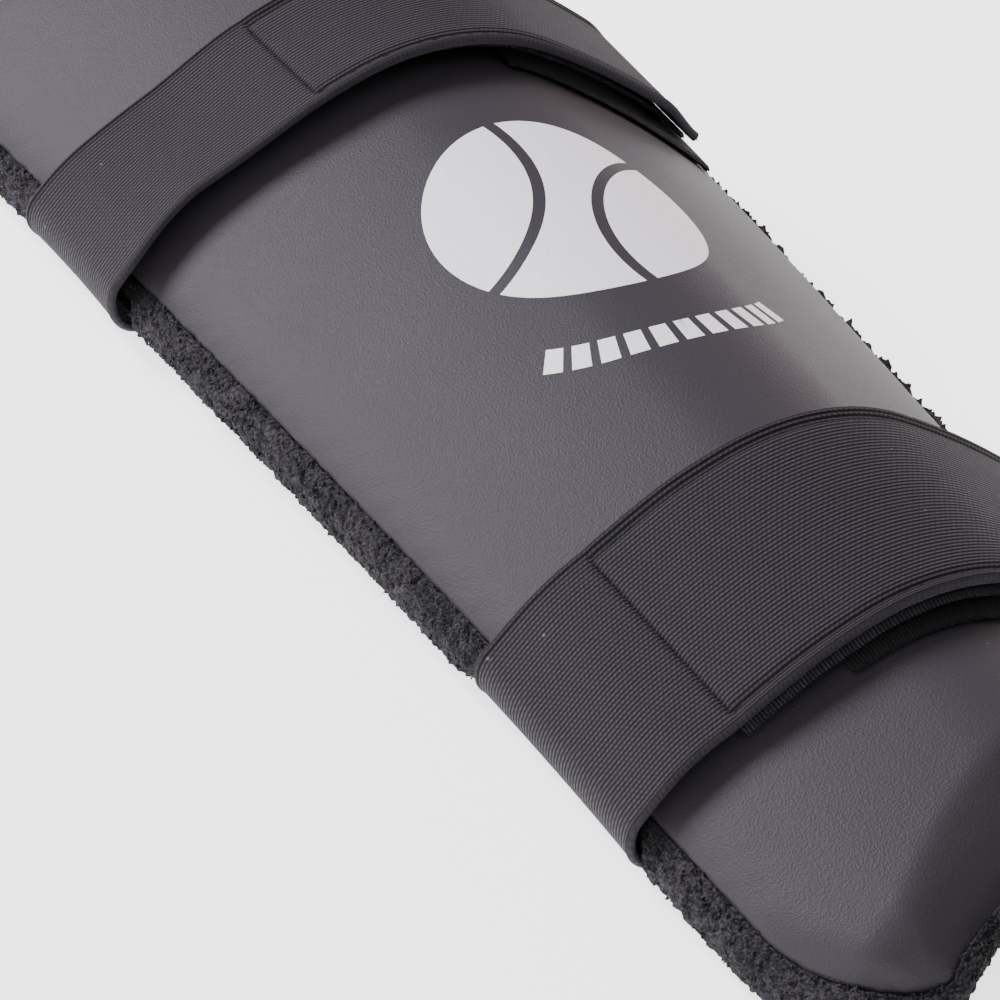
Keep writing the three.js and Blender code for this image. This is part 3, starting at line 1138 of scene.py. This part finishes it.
strands = {
    "cutEnd": 90,                # frayed threads at a strap's cut end
    "cutLengths": (0.4, 0.5, 0.7, 0.9, 1.4),    # of a stitch
    "cutWidth": 0.48,            # share of the strap on each side of its middle
    "cutSink": (0.0003, 0.0012),
    "cutSpread": 0.55,
    "border": 150,               # loose fibres on the towelling
    "borderLengths": (0.3, 0.9),
    "borderSpread": 1.1,
    "thin": 0.5,                 # of a stitch's thickness
}


def addStrand(bm, single, root, direction, length):
    turn = direction.to_track_quat("X", "Z").to_matrix().to_4x4()
    size = Matrix.Diagonal((length, strands["thin"], strands["thin"], 1))
    middle = root + direction * length * elastic["stitchLength"] * 0.45
    addCopy(bm, single, Matrix.Translation(middle) @ turn @ size)


def buildCutEnd(strap, material):
    single = stitchShape()
    bm = bmesh.new()
    end, reach = strap["freeEnd"], strands["cutWidth"]
    for _ in range(strands["cutEnd"]):
        y = strap["place"] + strap["width"] * random.uniform(-reach, reach)
        sink = -random.uniform(*strands["cutSink"])
        root = onStrap(strap, end - 0.004, y, sink)
        ahead = (onStrap(strap, end + 0.02, y, sink) - root).normalized()
        direction = (ahead + strands["cutSpread"] * anyWay()).normalized()
        addStrand(bm, single, root, direction, random.choice(strands["cutLengths"]))
    bpy.data.meshes.remove(single)
    return finishPiece(bm, strap["name"] + "_frayed_end", material, "elastic", sharp=180)


def buildStrayFibres(material):
    single = stitchShape()
    bm = bmesh.new()
    for _ in range(strands["border"]):
        found = borderSpot()
        if found:
            root, normal = found
            direction = (normal + strands["borderSpread"] * anyWay()).normalized()
            addStrand(bm, single, root, direction, random.uniform(*strands["borderLengths"]))
    bpy.data.meshes.remove(single)
    return finishPiece(bm, "towel_stray_fibres", material, "towelling", sharp=180)


thread = threadFinish()
for strap in straps:
    buildStitches(strap, thread)
    if strap["freeEnd"] < 1:
        buildCutEnd(strap, elasticCloth)
buildStrayFibres(towelling)
print("stitches")

# Plain printed roundel, like a ball with two seams, over an arc of bars

emblem = {
    "centre": (-0.002, 0.016),
    "radius": 0.0255,
    "seamRadius": 0.0325,
    "seamCentre": 0.0375,
    "seamGap": 0.0011,
    "seamSteps": 24,
    "edgeSteps": 16,
    "turn": math.radians(-28),
    "barRadius": 0.037,
    "barHeight": 0.0052,
    "bars": 11,
    "barSpread": math.radians(74),
    "barGap": 0.32,
    "barSteps": 4,
    "slices": (0.0012, 0.0036),  # across and along, so that the print can follow the curve
    "margin": 0.002,
    "thickness": 0.00006,
}


def addShape(bm, outline):
    bm.faces.new([bm.verts.new((x, y, 0)) for x, y in outline])


def arc(centre, radius, start, end, count):
    angles = [mix(start, end, k / count) for k in range(count + 1)]
    return [(centre[0] + radius * math.cos(a), centre[1] + radius * math.sin(a)) for a in angles]


def opposite(outline):
    return [(-x, -y) for x, y in outline]


def addRoundel(bm):
    radius, big, gap = emblem["radius"], emblem["seamRadius"], emblem["seamGap"]
    away, steps = emblem["seamCentre"], emblem["seamSteps"]

    def meeting(bigRadius):      # where a seam's circle meets the disc's edge
        x = (radius ** 2 - bigRadius ** 2 + away ** 2) / (2 * away)
        y = math.sqrt(radius ** 2 - x * x)
        return math.atan2(y, x), math.atan2(y, x - away)

    capDisc, capBig = meeting(big - gap)
    cap = arc((0, 0), radius, -capDisc, capDisc, steps)
    cap += arc((away, 0), big - gap, capBig, math.tau - capBig, steps)[1:-1]
    addShape(bm, cap)
    addShape(bm, [(-x, y) for x, y in cap])
    midDisc, midBig = meeting(big + gap)
    half = arc((away, 0), big + gap, math.tau - midBig, midBig, steps)
    half += arc((0, 0), radius, midDisc, math.pi - midDisc, emblem["edgeSteps"])[1:-1]
    addShape(bm, half + opposite(half))


def addBars(bm):
    step = emblem["barSpread"] / emblem["bars"]
    half = step * (1 - emblem["barGap"]) / 2
    inner, steps = emblem["barRadius"], emblem["barSteps"]
    outer = inner + emblem["barHeight"]
    for k in range(emblem["bars"]):
        middle = -math.pi / 2 + (k - (emblem["bars"] - 1) / 2) * step
        addShape(bm, arc((0, 0), inner, middle - half, middle + half, steps)
                 + arc((0, 0), outer, middle + half, middle - half, steps))


def printFinish():
    f = Finish("white_print")
    grain = f.cloud(1300.0, 3.0)
    return f.surface({
        "Base Color": f.blend(grain, (0.86, 0.85, 0.87, 1), (0.99, 0.98, 1.0, 1)),
        "Roughness": 0.62,
        "Specular IOR Level": 0.4,
    }, grain, 0.0001)


def buildEmblem():
    bm = bmesh.new()
    addRoundel(bm)
    turn = Matrix.Rotation(emblem["turn"], 3, "Z")
    bmesh.ops.rotate(bm, verts=bm.verts, cent=(0, 0, 0), matrix=turn)
    addBars(bm)
    reach = emblem["barRadius"] + emblem["barHeight"] + emblem["margin"]
    for axis, step in zip((Vector((1, 0, 0)), Vector((0, 1, 0))), emblem["slices"]):
        cut = -reach
        while cut < reach:
            bmesh.ops.bisect_plane(bm, geom=bm.verts[:] + bm.edges[:] + bm.faces[:],
                                   plane_co=axis * cut, plane_no=axis)
            cut += step
    bmesh.ops.triangulate(bm, faces=bm.faces)
    bmesh.ops.recalc_face_normals(bm, faces=bm.faces)
    for vert in bm.verts:
        s, y = vert.co.x + emblem["centre"][0], vert.co.y + emblem["centre"][1]
        vert.co = onGuard(s, y, faceOffset(s, y) + wanderAt(s, y) + emblem["thickness"])
    return finishPiece(bm, "printed_roundel", printFinish(), "leather", sharp=180)


buildEmblem()
print("print")

# Floor, light and camera

stage = {
    "floorSize": 8.0,
    "floorTones": (0.80, 0.81),
    "floorGlow": 2.25,
    "cameraPlace": (-0.34445, -0.46960, 0.38474),
    "cameraTurn": (55.418, -7.952, -29.458),
    "lens": 145.03,
    "ambient": 0.2,
    "aimHeight": 0.02,
}
lights = [                       # direction from the guard, distance, size, power, colour
    ("key_light", (-0.55, 0.78, 0.70), 3.0, 1.4, 160, (1.0, 0.965, 1.06)),
    ("fill_light", (-0.35, -0.55, 1.0), 2.2, 1.6, 10, (1.0, 0.97, 1.02)),
    ("left_light", (-1.0, 0.05, 0.4), 2.0, 1.2, 5, (1.0, 0.97, 1.04)),
    ("right_light", (0.9, 0.35, 0.42), 1.6, 0.9, 13, (1.0, 0.82, 0.80)),
]


def floorFinish():
    f = Finish("pale_floor")
    dark, light = ((tone, tone, tone, 1) for tone in stage["floorTones"])
    return f.surface({
        "Base Color": f.blend(f.cloud(3.0, 2.0), dark, light),
        "Roughness": 0.9,
        "Emission Color": (1, 1, 1, 1),
        "Emission Strength": stage["floorGlow"],
    })


floorMesh = bmesh.new()
bmesh.ops.create_grid(floorMesh, x_segments=2, y_segments=2, size=stage["floorSize"] / 2)
floor = newObject("floor", floorMesh)
floor.data.materials.append(floorFinish())

world = bpy.data.worlds.new("studio")
bpy.context.scene.world = world
world.use_nodes = True
world.node_tree.nodes["Background"].inputs[0].default_value = (1, 1, 1, 1)
world.node_tree.nodes["Background"].inputs[1].default_value = stage["ambient"]

for name, direction, distance, size, power, colour in lights:
    lamp = bpy.data.lights.new(name, "AREA")
    lamp.shape, lamp.size, lamp.energy, lamp.color = "DISK", size, power, colour
    holder = bpy.data.objects.new(name, lamp)
    aim = Vector(direction).normalized()
    holder.location = aim * distance + Vector((0, 0, stage["aimHeight"]))
    holder.rotation_euler = aim.to_track_quat("Z", "Y").to_euler()
    bpy.context.scene.collection.objects.link(holder)

camera = bpy.data.objects.new("camera", bpy.data.cameras.new("camera"))
camera.location = stage["cameraPlace"]
camera.rotation_euler = [math.radians(turn) for turn in stage["cameraTurn"]]
camera.data.lens = stage["lens"]
camera.data.clip_start = 0.01
bpy.context.scene.collection.objects.link(camera)
bpy.context.scene.camera = camera
